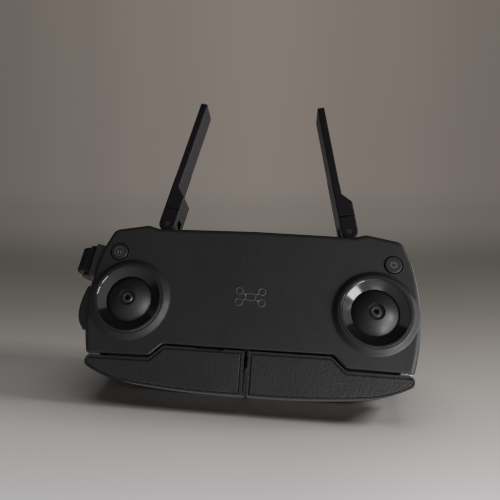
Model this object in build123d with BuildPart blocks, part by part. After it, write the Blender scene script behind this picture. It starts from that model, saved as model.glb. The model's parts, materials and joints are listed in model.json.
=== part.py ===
from build123d import *
import os
from math import cos, radians, sin, sqrt

# Folding two-stick remote controller, millimetres.
# +X right, +Y from the face towards the back, +Z up. The origin is the centre of the flat
# back of the case, level with the stick centres. "Depth" counts from the face plate backwards,
# so a negative depth stands proud of the face.

# case
DEPTH = 46.0            # face plate to flat back
SEAM = 24.0             # depth of the front shell
SEAM_GAP = 0.2          # between the two shells
WALL = 2.0
# Rounding of the back is cut this short of its tangent, so the flat back has a crisp outline.
BACK_BREAK = 0.4

# sticks
STICK_X = 54.0          # half of the stick spacing
PIVOT_D = 10.2          # depth of the gimbal centre
BEZEL_R = 15.2
BEZEL_SEAT_D = 6.3
EAR_BACK, EAR_T = 8.0, 1.6      # gimbal mounting ears
EAR_ANGLES = (180, 110, -100)
EAR_R, EAR_CIRCLE_R = 2.2, 18
DOME_R, DOME_T = 14.0, 1.2

# buttons and lights
BUTTON_X, BUTTON_Z = 62.0, 22.0
BUTTON_R, BUTTON_HOLE_R = 3.75, 4.25
SHOULDER_D, SHOULDER_X, SHOULDER_Z, SHOULDER_SLOPE = 30.0, 58.0, 34.66, 10.75
LED_PITCH, LED_Z = 2.5, 22.0

# tilt dial
DIAL_X, DIAL_D, DIAL_Z, DIAL_TILT = -75.9, 12.0, 18.7, 7.5
DIAL_R, DIAL_W, DIAL_CORE_R = 8.4, 11.2, 6.9
DIAL_AXLE_R = 1.5

# main board and battery
BOARD_BACK, BOARD_T = 22.0, 1.5
CELL_R, CELL_L, CELL_D, CELL_Z = 9.2, 65.0, 34.2, -11.6

# side port
PORT_D, PORT_Z = 8.0, -4.25

# antennas
ANTENNA_X, ANTENNA_Z = 43.8, 40.5
ANTENNA_LEAN = 11.0     # inward lean at rest, degrees
ANTENNA_FRONT, ANTENNA_BACK = 8.0, 22.0
ANTENNA_MID = (ANTENNA_FRONT + ANTENNA_BACK) / 2
ANTENNA_T = ANTENNA_BACK - ANTENNA_FRONT
ANTENNA_L = 70.2        # hinge axis to tip

# phone clamps
CLAMP_X, CLAMP_Z = 67.0, -27.7   # clamp hinge axis
CLAMP_FRONT, CLAMP_BACK = 0.5, 17.5
CLAMP_DEPTH = CLAMP_BACK - CLAMP_FRONT
CLAMP_MID = (CLAMP_FRONT + CLAMP_BACK) / 2
HINGE_DEPTHS = (3.6, 13.9)       # middles of the two hinge bracket cheeks
HINGE_MID = sum(HINGE_DEPTHS) / 2
HINGE_TAB_X = 66.15
BRACKET_SCREW_X = 65.6

os.makedirs("parts", exist_ok=True)


# ---------------------------------------------------------------- helpers
def y(depth):
    return depth - DEPTH


def at(depth):
    """Plane parallel to the face, its normal towards the user, at a depth behind the face."""
    return Plane.XZ.offset(DEPTH - depth)


def sloped_plane(x, depth, z, slope):
    """Plane facing up, turned about Y so that it falls towards +X by slope degrees."""
    s, c = sin(radians(slope)), cos(radians(slope))
    return Plane(origin=(x, y(depth), z), x_dir=(c, 0, -s), z_dir=(s, 0, c))


def stick_plane(side):
    """Plane for turned profiles: x is the radius from the stick axis, y is global Y."""
    return Plane(origin=(side * STICK_X, 0, 0), x_dir=(1, 0, 0), z_dir=(0, 0, 1))


def stick_axis(side):
    return Axis((side * STICK_X, 0, 0), (0, 1, 0))


def turned(profile):
    """Points of a (radius, depth) profile, for a stick plane."""
    return [(radius, y(depth)) for radius, depth in profile]


def both_sides(*points):
    """Right-hand (x, z) points followed by their mirror images."""
    return list(points) + [(-x, z) for x, z in points]


def corners_at(sketch, x):
    return sketch.vertices().filter_by_position(Axis.X, x - 0.3, x + 0.3)


def inset(sketch, distance):
    with BuildSketch() as inner:
        add(sketch)
        offset(amount=-distance, kind=Kind.INTERSECTION)
    return inner.sketch


def save(piece, name):
    piece.label = name
    export_step(piece, f"parts/{name}.step")


def save_pair(right_piece, name):
    """Save a right-hand piece and its mirror image."""
    save(right_piece, f"{name}_right")
    with BuildPart() as left:
        add(mirror(right_piece, about=Plane.YZ, mode=Mode.PRIVATE))
    save(left.part, f"{name}_left")


def small_screws(points, seat_depth, length):
    """Round-headed screws driven from the back, their heads on seat_depth."""
    head_r, head_t, shank_r = 1.6, 1.0, 0.78
    with BuildPart() as screws:
        with BuildSketch(at(seat_depth + head_t)):
            with Locations(*points):
                Circle(head_r)
        extrude(amount=head_t)
        with BuildSketch(at(seat_depth)):
            with Locations(*points):
                Circle(shank_r)
        extrude(amount=length)
    return screws.part


# ---------------------------------------------------------------- shared places
STICKS = both_sides((STICK_X, 0))
BUTTONS = both_sides((BUTTON_X, BUTTON_Z))
ANTENNAS = both_sides((ANTENNA_X, ANTENNA_Z))
CASE_SCREWS = both_sides((35, 25), (62.5, -17.5), (39, -15.5))
BOARD_POSTS = both_sides((26, 27), (26, -11))
RIGHT_EARS = [(STICK_X + EAR_CIRCLE_R * cos(radians(a)), EAR_CIRCLE_R * sin(radians(a)))
              for a in EAR_ANGLES]
EARS = both_sides(*RIGHT_EARS)
LEDS = [(LED_PITCH * (i - 1.5), LED_Z) for i in range(4)]

# (y, z) places on planes that face sideways
PORT_AT = (y(PORT_D), PORT_Z)
CELL_AT = (y(CELL_D), CELL_Z)
PIVOT_AT = (y(PIVOT_D), 0)

dial_plane = sloped_plane(DIAL_X, DIAL_D, DIAL_Z, DIAL_TILT)
shoulder_right = sloped_plane(SHOULDER_X, SHOULDER_D, SHOULDER_Z, SHOULDER_SLOPE)
shoulder_left = sloped_plane(-SHOULDER_X, SHOULDER_D, SHOULDER_Z, -SHOULDER_SLOPE)
SHOULDERS = (shoulder_left, shoulder_right)

# ---------------------------------------------------------------- outlines
# right half of the face: x, z from the middle outwards, then back along the lower edge
FACE_TOP = [(0, 35.3), (45.0, 34.6), (50.4, 36.1), (66.2, 33.1), (70.6, 22.5)]
FACE_SIDE = (73.4, 0.5)
FACE_BOTTOM = [(70.0, -24.3), (42.0, -23.8), (36.4, -18.5), (0, -18.6)]
# x of the corner, radius
FACE_CORNERS = [(66.2, 4.5), (50.4, 2.5), (45.0, 5.0), (42.0, 2.0), (36.4, 2.0)]

with BuildSketch() as front_outline:
    with BuildLine():
        Polyline(*FACE_TOP)
        ThreePointArc(FACE_TOP[-1], FACE_SIDE, FACE_BOTTOM[0])
        Polyline(*FACE_BOTTOM)
        mirror(about=Plane.YZ)
    make_face()
    for corner_x, radius in FACE_CORNERS:
        for side in (1, -1):
            fillet(corners_at(front_outline, side * corner_x), radius)

# the back of the case has a straight lower edge behind the folded clamps
with BuildSketch() as rear_outline:
    add(front_outline.sketch)
    with Locations((0, -21.0)):
        Rectangle(100, 6.6)

front_inside = inset(front_outline.sketch, WALL)
rear_inside = inset(rear_outline.sketch, WALL)

# ---------------------------------------------------------------- front shell
POCKET_R, POCKET_HALF_H = 10.0, 8.0
POCKET_WALL = 1.1
POCKET_SKIN = 0.8       # pocket wall kept this far inside the case outline
RIM_FILLET, LOW_RIM_CHAMFER = 2.2, 0.45
LOW_RIM_Z = -18.0       # rim edges below this are chamfered instead of rounded
SEAT_R = 16.7
LUG_R, LUG_W, LUG_H, LUG_T = 3.3, 5.6, 7.2, 5.6

# raised collar round a stick: radius, depth
COLLAR_PROFILE = [(14.0, -2.0), (15.85, -2.0), (16.35, -1.75), (18.1, -0.25),
                  (18.9, 0.2), (18.9, 1.5), (14.0, 1.5)]
# posts behind the face plate: points, radius, depth of the end
POSTS = [
    (EARS, EAR_R, 6.35),
    (BOARD_POSTS, 2.2, 20.4),
    (CASE_SCREWS, 2.4, SEAM - 0.1),
    (both_sides((55.6, 23.6)), 1.0, 7.0),      # button boards
]
# blind holes from the back: points, radius, starting depth, length
POST_HOLES = [
    (EARS, 0.8, 6.4, 3.6),
    (BOARD_POSTS, 0.8, 20.5, 6.0),
    (CASE_SCREWS, 1.0, SEAM, 14.0),
    (ANTENNAS, 1.5, 19, 8.0),
]

# socket for the tilt dial: a round pocket wall in the left shoulder
with BuildPart() as dial_pocket_wall:
    with BuildSketch(dial_plane.offset(-POCKET_HALF_H - POCKET_WALL)):
        Circle(POCKET_R + POCKET_WALL)
    extrude(amount=2 * (POCKET_HALF_H + POCKET_WALL))
    with BuildSketch(at(SEAM)):
        add(front_outline.sketch)
        offset(amount=-POCKET_SKIN, kind=Kind.INTERSECTION)
    extrude(amount=SEAM - POCKET_SKIN, mode=Mode.INTERSECT)
    # clear of the left gimbal
    with BuildSketch(at(SEAM)):
        with Locations((-STICK_X, 0)):
            Circle(15.8)
    extrude(amount=SEAM, mode=Mode.SUBTRACT)

with BuildPart() as front_shell:
    with BuildSketch(at(SEAM)):
        add(front_outline.sketch)
    extrude(amount=SEAM)
    rim = front_shell.faces().sort_by(Axis.Y)[0].edges()
    fillet([e for e in rim if e.center().Z > LOW_RIM_Z], RIM_FILLET)
    rim = front_shell.faces().sort_by(Axis.Y)[0].edges()
    chamfer([e for e in rim if e.center().Z < LOW_RIM_Z], LOW_RIM_CHAMFER)
    for side in (-1, 1):
        with BuildSketch(stick_plane(side)):
            with BuildLine():
                Polyline(*turned(COLLAR_PROFILE), close=True)
            make_face()
        revolve(axis=stick_axis(side))
    # hollow
    with BuildSketch(at(SEAM)):
        add(front_inside)
    extrude(amount=SEAM - WALL, mode=Mode.SUBTRACT)
    # seats behind the bezels
    with BuildSketch(at(BEZEL_SEAT_D)):
        with Locations(*STICKS):
            Circle(SEAT_R)
    extrude(amount=BEZEL_SEAT_D - WALL)
    for points, radius, end in POSTS:
        with BuildSketch(at(end)):
            with Locations(*points):
                Circle(radius)
        extrude(amount=end - WALL)
    # antenna lugs on the top wall
    with BuildSketch(at(ANTENNA_MID + LUG_T / 2)):
        with Locations(*ANTENNAS):
            Circle(LUG_R)
        with Locations(*both_sides((ANTENNA_X, ANTENNA_Z - LUG_H / 2))):
            Rectangle(LUG_W, LUG_H)
    extrude(amount=LUG_T)
    add(dial_pocket_wall.part)
    # stick openings
    with BuildSketch(at(10)):
        with Locations(*STICKS):
            Circle(BEZEL_R + 0.1)
    extrude(amount=14, mode=Mode.SUBTRACT)
    # button and light openings
    with BuildSketch(at(WALL + 0.5)):
        with Locations(*BUTTONS):
            Circle(BUTTON_HOLE_R)
        with Locations(*LEDS):
            Circle(0.5)
    extrude(amount=WALL + 1.0, mode=Mode.SUBTRACT)
    for points, radius, start, length in POST_HOLES:
        with BuildSketch(at(start)):
            with Locations(*points):
                Circle(radius)
        extrude(amount=length, mode=Mode.SUBTRACT)
    with BuildSketch(dial_plane.offset(-POCKET_HALF_H)):
        Circle(POCKET_R)
    extrude(amount=2 * POCKET_HALF_H, mode=Mode.SUBTRACT)
    # side port window
    with BuildSketch(Plane.YZ.offset(-80)):
        with Locations(PORT_AT):
            Rectangle(8.0, 19.5)
    extrude(amount=9.8, mode=Mode.SUBTRACT)
    # slots for the clamp hinge brackets, and blind holes for their screws
    for side in (-1, 1):
        with BuildSketch(Plane.XY.offset(-25)):
            with Locations(*[(side * HINGE_TAB_X, y(depth)) for depth in HINGE_DEPTHS]):
                Rectangle(3.3, 1.6)
        extrude(amount=4.0, mode=Mode.SUBTRACT)
        with BuildSketch(Plane.XY.offset(-23.6)):
            with Locations((side * BRACKET_SCREW_X, y(HINGE_MID))):
                Circle(1.0)
        extrude(amount=1.6, mode=Mode.SUBTRACT)
save(front_shell.part, "front_shell")

# ---------------------------------------------------------------- rear shell
ENVELOPE_W, ENVELOPE_H, ENVELOPE_Z = 147.2, 60.6, 6.0
BACK_FILLET, BACK_LOW_FILLET = 8.5, 4.0
BOSS_R, BOSS_BACK = 3.5, DEPTH - 1.0
SCREW_SEAT_D = 42.0     # depth the case screw heads bear on
GROOVES, GROOVE_X, GROOVE_PITCH, GROOVE_Z = 5, 47.5, 3.0, 4.0
GROOVE_L, GROOVE_W, GROOVE_DEPTH = 25.0, 1.1, 0.7

# rounded envelope that gives the back its soft edges
with BuildPart() as rear_envelope:
    with BuildSketch(at(DEPTH + BACK_BREAK)):
        with Locations((0, ENVELOPE_Z)):
            Rectangle(ENVELOPE_W, ENVELOPE_H)
    extrude(amount=DEPTH + BACK_BREAK)
    back = rear_envelope.faces().sort_by(Axis.Y)[-1].edges()
    fillet(back.sort_by(Axis.Z)[1:], BACK_FILLET)
    low_edges = rear_envelope.edges().filter_by(Axis.X).sort_by(Axis.Z)[0:2]
    fillet(low_edges.sort_by(Axis.Y)[-1], BACK_LOW_FILLET)

with BuildPart() as rear_void:
    with BuildSketch(at(DEPTH - WALL)):
        with Locations((0, ENVELOPE_Z)):
            Rectangle(ENVELOPE_W - 2 * WALL, ENVELOPE_H - 2 * WALL)
    extrude(amount=DEPTH)
    back = rear_void.faces().sort_by(Axis.Y)[-1].edges()
    fillet(back.sort_by(Axis.Z)[1:], BACK_FILLET - WALL)
    with BuildSketch(at(DEPTH - WALL)):
        add(rear_inside)
    extrude(amount=DEPTH - WALL - SEAM - WALL, mode=Mode.INTERSECT)
    # next to the seam the void follows the front shell
    with BuildSketch(at(SEAM + WALL + 0.1)):
        add(front_inside)
    extrude(amount=WALL + 1.0)

with BuildPart() as rear_shell:
    with BuildSketch(at(DEPTH)):
        add(rear_outline.sketch)
    extrude(amount=DEPTH - SEAM - SEAM_GAP)
    add(rear_envelope.part, mode=Mode.INTERSECT)
    add(rear_void.part, mode=Mode.SUBTRACT)
    # screw bosses, then their head wells and clearance holes
    with BuildSketch(at(BOSS_BACK)):
        with Locations(*CASE_SCREWS):
            Circle(BOSS_R)
    extrude(amount=BOSS_BACK - SEAM - SEAM_GAP)
    for radius, length in ((2.7, DEPTH - SCREW_SEAT_D), (1.15, DEPTH - SEAM)):
        with BuildSketch(at(DEPTH)):
            with Locations(*CASE_SCREWS):
                Circle(radius)
        extrude(amount=length, mode=Mode.SUBTRACT)
    # thumb grooves moulded in both palm areas
    with BuildSketch(at(DEPTH)):
        for side in (-1, 1):
            with Locations(*[(side * (GROOVE_X + GROOVE_PITCH * i), GROOVE_Z)
                             for i in range(GROOVES)]):
                SlotOverall(GROOVE_L, GROOVE_W, rotation=90)
    extrude(amount=GROOVE_DEPTH, mode=Mode.SUBTRACT)
    # windows for the shoulder buttons
    for plane in SHOULDERS:
        with BuildSketch(plane.offset(-5)):
            SlotOverall(11.6, 6.6)
        extrude(amount=10, mode=Mode.SUBTRACT)
save(rear_shell.part, "rear_shell")

# ---------------------------------------------------------------- case screws
CASE_HEAD_T = 2.2
CROSS_L, CROSS_W, CROSS_DEPTH = 2.6, 0.7, 1.2

with BuildPart() as shell_screws:
    with BuildSketch(at(SCREW_SEAT_D)):
        with Locations(*CASE_SCREWS):
            Circle(0.98)
    extrude(amount=30.0)
    with BuildSketch(at(SCREW_SEAT_D + CASE_HEAD_T)):
        with Locations(*CASE_SCREWS):
            Circle(2.3)
    extrude(amount=CASE_HEAD_T)
    with BuildSketch(at(SCREW_SEAT_D + CASE_HEAD_T)):
        with Locations(*CASE_SCREWS):
            Rectangle(CROSS_L, CROSS_W)
            Rectangle(CROSS_W, CROSS_L)
    extrude(amount=CROSS_DEPTH, mode=Mode.SUBTRACT)
save(shell_screws.part, "shell_screws")

# ---------------------------------------------------------------- electronics
BOARD_FRONT = BOARD_BACK - BOARD_T
CONNECTOR_T = 2.0

with BuildPart() as main_board:
    with BuildSketch(at(BOARD_BACK)):
        with Locations((0, 8.0)):
            RectangleRounded(60, 44, 2)
    extrude(amount=BOARD_T)
    # components on the front
    with BuildSketch(at(BOARD_FRONT)):
        with Locations((-8, 12), (12, 14)):
            Rectangle(16, 14)
        with Locations((-2, -6)):
            Rectangle(24, 8)
    extrude(amount=2.4)
    # block on the back
    with BuildSketch(at(BOARD_BACK + CONNECTOR_T)):
        with Locations((0, 18)):
            Rectangle(30, 8)
    extrude(amount=CONNECTOR_T)
    with BuildSketch(at(BOARD_BACK + 0.5)):
        with Locations(*BOARD_POSTS):
            Circle(0.95)
    extrude(amount=3.0, mode=Mode.SUBTRACT)
save(main_board.part, "main_board")

save(small_screws(BOARD_POSTS, seat_depth=BOARD_BACK, length=6.5), "board_screws")

BUZZER_AT, BUZZER_T = (22, -4), 3.2
with BuildPart() as buzzer:
    with BuildSketch(at(BOARD_FRONT)):
        with Locations(BUZZER_AT):
            Circle(4.5)
    extrude(amount=BUZZER_T)
    with BuildSketch(at(BOARD_FRONT - BUZZER_T)):
        with Locations(BUZZER_AT):
            Circle(0.8)
    extrude(amount=0.6, mode=Mode.SUBTRACT, dir=(0, 1, 0))
save(buzzer.part, "buzzer")

GUIDE_T = 2.0
with BuildPart() as led_light_guide:
    with BuildSketch(at(WALL + GUIDE_T)):
        with Locations((0, LED_Z)):
            RectangleRounded(14, 4, 1)
    extrude(amount=GUIDE_T)
    with BuildSketch(at(WALL)):
        with Locations(*LEDS):
            Circle(0.48)
    extrude(amount=WALL - 0.1)
save(led_light_guide.part, "led_light_guide")

CELL_TIP_L, CELL_TIP_R = 1.0, 3.2      # end contacts
with BuildPart() as battery_cell:
    with BuildSketch(Plane.YZ.offset(-CELL_L / 2 + CELL_TIP_L)):
        with Locations(CELL_AT):
            Circle(CELL_R)
    extrude(amount=CELL_L - 2 * CELL_TIP_L)
    fillet(battery_cell.edges().filter_by(GeomType.CIRCLE), 0.8)
    with BuildSketch(Plane.YZ.offset(-CELL_L / 2)):
        with Locations(CELL_AT):
            Circle(CELL_TIP_R)
    extrude(amount=CELL_L)
save(battery_cell.part, "battery_cell")

HOLDER_L, HOLDER_BAY_L = 68.6, 66.0
with BuildPart() as battery_holder:
    with BuildSketch(Plane.YZ.offset(-HOLDER_L / 2)):
        with Locations((y(35.0), CELL_Z - 4.6)):
            Rectangle(17.8, 11.6)
    extrude(amount=HOLDER_L)
    with BuildSketch(Plane.YZ.offset(-HOLDER_BAY_L / 2)):
        with Locations(CELL_AT):
            Circle(CELL_R + 0.1)
    extrude(amount=HOLDER_BAY_L, mode=Mode.SUBTRACT)
save(battery_holder.part, "battery_holder")

# button boards and their switches, behind the face and under the shoulders
SMALL_BOARD_T = 1.0
FACE_BOARD_FRONT = 7.0          # depth
FACE_SWITCH_T = 2.8
SHOULDER_BOARD_TOP = -8.5       # along the shoulder normal
SHOULDER_SWITCH_T = 3.2
SWITCH_TIP_R = 1.5

with BuildPart() as button_boards:
    with BuildSketch(at(FACE_BOARD_FRONT + SMALL_BOARD_T)):
        with Locations(*both_sides((59.4, 22.2))):
            Rectangle(10.4, 6.4)
    extrude(amount=SMALL_BOARD_T)
    for plane in SHOULDERS:
        with BuildSketch(plane.offset(SHOULDER_BOARD_TOP - SMALL_BOARD_T)):
            Rectangle(14, 7.6)
        extrude(amount=SMALL_BOARD_T)
save(button_boards.part, "button_boards")

with BuildPart() as tact_switches:
    with BuildSketch(at(FACE_BOARD_FRONT)):
        with Locations(*BUTTONS):
            Rectangle(4.6, 4.6)
    extrude(amount=FACE_SWITCH_T)
    with BuildSketch(at(FACE_BOARD_FRONT - FACE_SWITCH_T)):
        with Locations(*BUTTONS):
            Circle(SWITCH_TIP_R)
    extrude(amount=0.5)
    for plane in SHOULDERS:
        with BuildSketch(plane.offset(SHOULDER_BOARD_TOP)):
            Rectangle(5.0, 5.0)
        extrude(amount=SHOULDER_SWITCH_T)
        with BuildSketch(plane.offset(SHOULDER_BOARD_TOP + SHOULDER_SWITCH_T)):
            Circle(SWITCH_TIP_R)
        extrude(amount=0.6)
save(tact_switches.part, "tact_switches")

# ---------------------------------------------------------------- side port
HOUSING_T = 10.0
HOUSING_ROOT_X = -72.0
HOUSING_TOP_Z, HOUSING_BOTTOM_Z = 6.6, -15.2
HOUSING_SHOULDER = (-75.6, 5.2)
SOCKET_X = -77.0        # outer end of the receptacle

# the front shell as a solid block, to trim the housing
with BuildPart() as front_block:
    with BuildSketch(at(SEAM)):
        add(front_outline.sketch)
    extrude(amount=SEAM)

with BuildPart() as side_port_housing:
    with BuildSketch(at(PORT_D + HOUSING_T / 2)):
        with BuildLine():
            Polyline((HOUSING_ROOT_X, HOUSING_TOP_Z), HOUSING_SHOULDER)
            Spline(HOUSING_SHOULDER, (-77.6, -3.0), (-77.0, -10.0),
                   (HOUSING_ROOT_X, HOUSING_BOTTOM_Z))
            Line((HOUSING_ROOT_X, HOUSING_BOTTOM_Z), (HOUSING_ROOT_X, HOUSING_TOP_Z))
        make_face()
    extrude(amount=HOUSING_T)
    fillet(side_port_housing.faces().sort_by(Axis.X)[0].edges(), 1.2)
    add(front_block.part, mode=Mode.SUBTRACT)
    # plug that fills the window in the case
    with BuildSketch(Plane.YZ.offset(-75.0)):
        with Locations(PORT_AT):
            Rectangle(7.8, 19.2)
    extrude(amount=3.9)
    with BuildSketch(Plane.YZ.offset(-80.0)):
        with Locations(PORT_AT):
            RectangleRounded(3.6, 9.4, 1.2)
    extrude(amount=10.0, mode=Mode.SUBTRACT)
save(side_port_housing.part, "side_port_housing")

with BuildPart() as usb_receptacle:
    with BuildSketch(Plane.YZ.offset(SOCKET_X)):
        with Locations(PORT_AT):
            RectangleRounded(3.4, 9.2, 1.1)
    extrude(amount=6.8)
    with BuildSketch(Plane.YZ.offset(SOCKET_X)):
        with Locations(PORT_AT):
            RectangleRounded(2.8, 8.6, 0.9)
    extrude(amount=5.8, mode=Mode.SUBTRACT)
    # tongue
    with BuildSketch(Plane.YZ.offset(SOCKET_X + 0.6)):
        with Locations(PORT_AT):
            Rectangle(0.8, 6.6)
    extrude(amount=5.8)
save(usb_receptacle.part, "usb_receptacle")

# ---------------------------------------------------------------- stick gimbals
# radius, depth
BEZEL_PROFILE = [
    (BEZEL_R, BEZEL_SEAT_D), (BEZEL_R, -2.15), (15.05, -2.35), (14.85, -2.35), (14.75, -2.2),
    (14.75, -1.8), (14.5, -1.8), (14.5, -2.15), (14.3, -2.15), (14.15, -2.0),
    (14.05, -1.7), (10.4, -0.2), (10.25, -0.05), (10.25, 0.1), (10.45, 0.25),
    (13.9, -0.8), (13.9, BEZEL_SEAT_D), (BEZEL_R, BEZEL_SEAT_D),
]
with BuildPart() as gimbal_bezel:
    with BuildSketch(stick_plane(1)):
        with BuildLine():
            Polyline(*turned(BEZEL_PROFILE))
        make_face()
    revolve(axis=stick_axis(1))
save_pair(gimbal_bezel.part, "gimbal_bezel")

CAN_R, CAN_INNER_R = 15.6, 14.4
CAN_BACK, CAN_FLOOR = 26.0, 24.5       # depths
PEG_OFFSET, PEG_R, PEG_L = 5, 1.0, 0.8
PIVOT_HOLE_R, PIVOT_PIN_R = 1.25, 1.2

with BuildPart() as gimbal_housing:
    with BuildSketch(at(CAN_BACK)):
        with Locations((STICK_X, 0)):
            Circle(CAN_R)
    extrude(amount=CAN_BACK - (EAR_BACK - EAR_T))
    # ears, each with a web to the can
    with BuildSketch(at(EAR_BACK)):
        with Locations(*RIGHT_EARS):
            Circle(EAR_R)
        for angle in EAR_ANGLES:
            with Locations((STICK_X + 16 * cos(radians(angle)), 16 * sin(radians(angle)))):
                Rectangle(4.0, 2 * EAR_R, rotation=angle)
    extrude(amount=EAR_T)
    with BuildSketch(at(CAN_FLOOR)):
        with Locations((STICK_X, 0)):
            Circle(CAN_INNER_R)
    extrude(amount=20.0, mode=Mode.SUBTRACT)
    # pegs on the back
    with BuildSketch(at(CAN_BACK + PEG_L)):
        with Locations(*[(STICK_X + dx, dz) for dz in (PEG_OFFSET, -PEG_OFFSET)
                         for dx in (PEG_OFFSET, -PEG_OFFSET)]):
            Circle(PEG_R)
    extrude(amount=PEG_L)
    with BuildSketch(at(CAN_BACK + 1.0)):
        with Locations((STICK_X, 0)):
            Circle(1.6)
    extrude(amount=3.0, mode=Mode.SUBTRACT)
    with BuildSketch(at(EAR_BACK + 1.0)):
        with Locations(*RIGHT_EARS):
            Circle(0.95)
    extrude(amount=3.0, mode=Mode.SUBTRACT)
    with BuildSketch(Plane.YZ.offset(STICK_X - 17)):
        with Locations(PIVOT_AT):
            Circle(PIVOT_HOLE_R)
    extrude(amount=34, mode=Mode.SUBTRACT)
save_pair(gimbal_housing.part, "gimbal_housing")

YOKE_R, YOKE_INNER_R, YOKE_T = 12.4, 10.9, 3.0
YOKE_PIN_ROOT, YOKE_PIN_L = 12.0, 3.5
with BuildPart() as gimbal_yoke:
    with BuildSketch(at(PIVOT_D + YOKE_T / 2)):
        with Locations((STICK_X, 0)):
            Circle(YOKE_R)
            Circle(YOKE_INNER_R, mode=Mode.SUBTRACT)
    extrude(amount=YOKE_T)
    # pivot pins along X
    for start in (YOKE_PIN_ROOT, -YOKE_PIN_ROOT - YOKE_PIN_L):
        with BuildSketch(Plane.YZ.offset(STICK_X + start)):
            with Locations(PIVOT_AT):
                Circle(PIVOT_PIN_R)
        extrude(amount=YOKE_PIN_L)
    # cross hole along Z for the stick hub
    with BuildSketch(Plane.XY.offset(-15)):
        with Locations((STICK_X, y(PIVOT_D))):
            Circle(PIVOT_HOLE_R)
    extrude(amount=30, mode=Mode.SUBTRACT)
save_pair(gimbal_yoke.part, "gimbal_yoke")


def on_sphere(radius, angle):
    """Profile point on a sphere about the gimbal centre, angle from the stick axis."""
    return (radius * sin(radians(angle)), y(PIVOT_D - radius * cos(radians(angle))))


DOME_EDGE = 66.0                # half angle of the dome
RECESS_R, RECESS_D = 3.7, -1.7  # middle recess of the dome, depth of its floor
STEM_R, TAIL_R, TAIL_END = 4.7, 2.0, 18.9
HUB_PIN_L = 24.6
SOCKET_BACK, SOCKET_L, SOCKET_R = 4.0, 6.9, 2.34
SOCKET_FRONT = SOCKET_BACK - SOCKET_L
dome_inner_r = DOME_R - DOME_T
stem_top = y(PIVOT_D - sqrt(dome_inner_r ** 2 - STEM_R ** 2))
recess_top = y(PIVOT_D - sqrt(DOME_R ** 2 - RECESS_R ** 2))

with BuildPart() as stick_hub:
    with BuildSketch(stick_plane(1)):
        with BuildLine():
            ThreePointArc((RECESS_R, recess_top), on_sphere(DOME_R, 40),
                          on_sphere(DOME_R, DOME_EDGE))
            Line(on_sphere(DOME_R, DOME_EDGE), on_sphere(dome_inner_r, DOME_EDGE))
            ThreePointArc(on_sphere(dome_inner_r, DOME_EDGE), on_sphere(dome_inner_r, 42),
                          (STEM_R, stem_top))
            Polyline((STEM_R, stem_top),
                     *turned([(STEM_R, 6.0), (3.2, 7.5), (3.2, 13.0), (TAIL_R, 14.0),
                              (TAIL_R, TAIL_END), (0, TAIL_END), (0, RECESS_D),
                              (RECESS_R, RECESS_D)]),
                     (RECESS_R, recess_top))
        make_face()
    revolve(axis=stick_axis(1))
    # pivot pin along Z
    with BuildSketch(Plane.XY.offset(-HUB_PIN_L / 2)):
        with Locations((STICK_X, y(PIVOT_D))):
            Circle(PIVOT_PIN_R)
    extrude(amount=HUB_PIN_L)
    with BuildSketch(at(SOCKET_BACK)):
        with Locations((STICK_X, 0)):
            Circle(SOCKET_R + 0.01)
    extrude(amount=7.0, mode=Mode.SUBTRACT)
save_pair(stick_hub.part, "stick_hub")

# insert that takes the thumb stick, M3
with BuildPart() as stick_socket:
    with BuildSketch(at(SOCKET_BACK)):
        with Locations((STICK_X, 0)):
            Circle(SOCKET_R)
    extrude(amount=SOCKET_L)
    chamfer(stick_socket.faces().sort_by(Axis.Y)[0].edges(), 0.25)
    with BuildSketch(at(2.1)):
        with Locations((STICK_X, 0)):
            Circle(1.25)
    extrude(amount=6.0, mode=Mode.SUBTRACT)
    # ring groove in the front face
    with BuildSketch(at(SOCKET_FRONT)):
        with Locations((STICK_X, 0)):
            Circle(1.95)
            Circle(1.6, mode=Mode.SUBTRACT)
    extrude(amount=-0.25, mode=Mode.SUBTRACT)
save_pair(stick_socket.part, "stick_socket")

# self-centring: a sprung plate behind the tail of each stick hub
PLATE_BACK = 20.2
STEM_L = 6.0
with BuildPart() as centring_plungers:
    with BuildSketch(at(PLATE_BACK)):
        with Locations(*STICKS):
            Circle(5.0)
    extrude(amount=0.8)
    with BuildSketch(at(PLATE_BACK + STEM_L)):
        with Locations(*STICKS):
            Circle(1.5)
    extrude(amount=STEM_L)
save(centring_plungers.part, "centring_plungers")

SPRING_PITCH, SPRING_TURNS, SPRING_R, SPRING_WIRE_R = 1.15, 3, 3.1, 0.28
with BuildPart() as centring_springs:
    for side in (-1, 1):
        with BuildLine():
            coil = Helix(pitch=SPRING_PITCH, height=SPRING_TURNS * SPRING_PITCH,
                         radius=SPRING_R, center=(side * STICK_X, y(20.6), 0),
                         direction=(0, 1, 0))
        with BuildSketch(Plane(origin=coil @ 0, z_dir=coil % 0)):
            Circle(SPRING_WIRE_R)
        sweep(path=coil, is_frenet=True)
save(centring_springs.part, "centring_springs")

with BuildPart() as hall_boards:
    with BuildSketch(at(28.0)):
        with Locations(*STICKS):
            RectangleRounded(14, 14, 1)
    extrude(amount=1.2)
save(hall_boards.part, "hall_boards")

save(small_screws(EARS, seat_depth=EAR_BACK, length=5.0), "gimbal_screws")

# ---------------------------------------------------------------- face buttons
BUTTON_FLANGE_R, BUTTON_FLANGE_T = 4.9, 0.8
BUTTON_CAP_BACK, BUTTON_CAP_L = 2.3, 2.9


def face_button(side):
    with BuildPart() as button:
        with BuildSketch(at(BUTTON_CAP_BACK + BUTTON_FLANGE_T)):
            with Locations((side * BUTTON_X, BUTTON_Z)):
                Circle(BUTTON_FLANGE_R)
        extrude(amount=BUTTON_FLANGE_T)
        with BuildSketch(at(BUTTON_CAP_BACK)):
            with Locations((side * BUTTON_X, BUTTON_Z)):
                Circle(BUTTON_R)
        extrude(amount=BUTTON_CAP_L)
        fillet(button.faces().sort_by(Axis.Y)[0].edges(), 0.5)
    return button.part


save(face_button(-1), "pause_button")
save(face_button(1), "power_button")

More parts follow.
